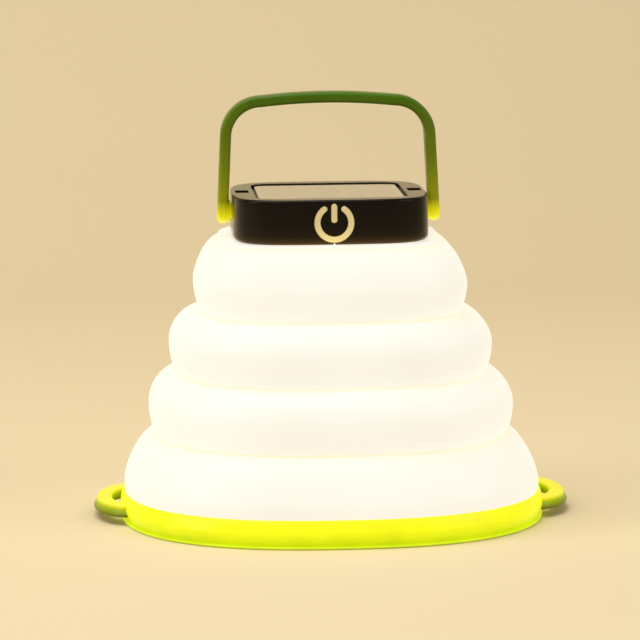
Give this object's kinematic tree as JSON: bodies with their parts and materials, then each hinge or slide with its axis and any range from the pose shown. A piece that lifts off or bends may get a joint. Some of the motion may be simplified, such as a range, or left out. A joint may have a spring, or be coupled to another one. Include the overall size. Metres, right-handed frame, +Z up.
{
  "type": "collapsible solar camping lantern",
  "caption": "Collapsible camping lantern: silicone bellows shade on a ring base with ears, solar-panel head, power key, charging port and folding handle.",
  "frame": {"origin": "centre of the foot, on the ground", "axes": "+Z up through the shade and head, +X towards the right ear, -Y the front with the power key"},
  "size_m": [0.1286, 0.1142, 0.114],
  "materials": {
    "base_ring": "moulded translucent lime plastic",
    "base_plate": "fine texture",
    "base_clamp": "fine texture",
    "bellows": "satin translucent silicone",
    "housing": "gloss",
    "head_floor": "fine texture",
    "collar_clamp": "fine texture",
    "clamp_screws": "plated",
    "panel_window": "polished clear film",
    "solar_cells": "polished silicon",
    "solar_laminate": "laminate",
    "panel_gasket": "foam tape",
    "panel_wires": "lead insulation",
    "battery": "foil pouch",
    "battery_pad": "foam tape",
    "battery_wires": "lead insulation",
    "main_board": "solder mask",
    "board_screws": "plated",
    "led_chips": "phosphor under clear resin",
    "led_lens": "frosted",
    "switch_body": "moulded",
    "usb_socket": "plated",
    "charge_light": "clear light guide",
    "handle_clips": "moulded",
    "port_anchor": "satin",
    "handle": "moulded translucent lime plastic",
    "power_key": "translucent",
    "switch_plunger": "moulded",
    "port_cover": "satin"
  },
  "bodies": {
    "base": {"base_ring": "base_ring", "base_plate": "base_plate", "base_clamp": "base_clamp", "bellows": "bellows"},
    "head": {"housing": "housing", "head_floor": "head_floor", "collar_clamp": "collar_clamp", "clamp_screws": "clamp_screws", "panel_window": "panel_window", "solar_cells": "solar_cells", "solar_laminate": "solar_laminate", "panel_gasket": "panel_gasket", "panel_wires": "panel_wires", "battery": "battery", "battery_pad": "battery_pad", "battery_wires": "battery_wires", "main_board": "main_board", "board_screws": "board_screws", "led_chips": "led_chips", "led_lens": "led_lens", "switch_body": "switch_body", "usb_socket": "usb_socket", "charge_light": "charge_light", "handle_clips": "handle_clips", "port_anchor": "port_anchor"},
    "handle": {"handle": "handle"},
    "power_button": {"power_key": "power_key", "switch_plunger": "switch_plunger"},
    "port_cover": {"port_cover": "port_cover"}
  },
  "joints": [
    {"name": "collapse", "type": "slide", "parent": "base", "child": "head", "axis": [0, 0, 1], "range_m": [-0.055, 0], "deforming": ["bellows"]},
    {"name": "handle_swing", "type": "hinge", "parent": "head", "child": "handle", "pos_m": [0, 0, 0.0823], "axis": [1, 0, 0], "range_deg": [-95, 95]},
    {"name": "button_press", "type": "slide", "parent": "head", "child": "power_button", "axis": [0, 1, 0], "range_m": [0, 0.0005], "stiffness_N_per_m": 2000, "springref_m": -0.0002},
    {"name": "port_cover_swing", "type": "hinge", "parent": "head", "child": "port_cover", "pos_m": [0, 0.02605, 0.0841], "axis": [1, 0, 0], "range_deg": [0, 100]}
  ]
}
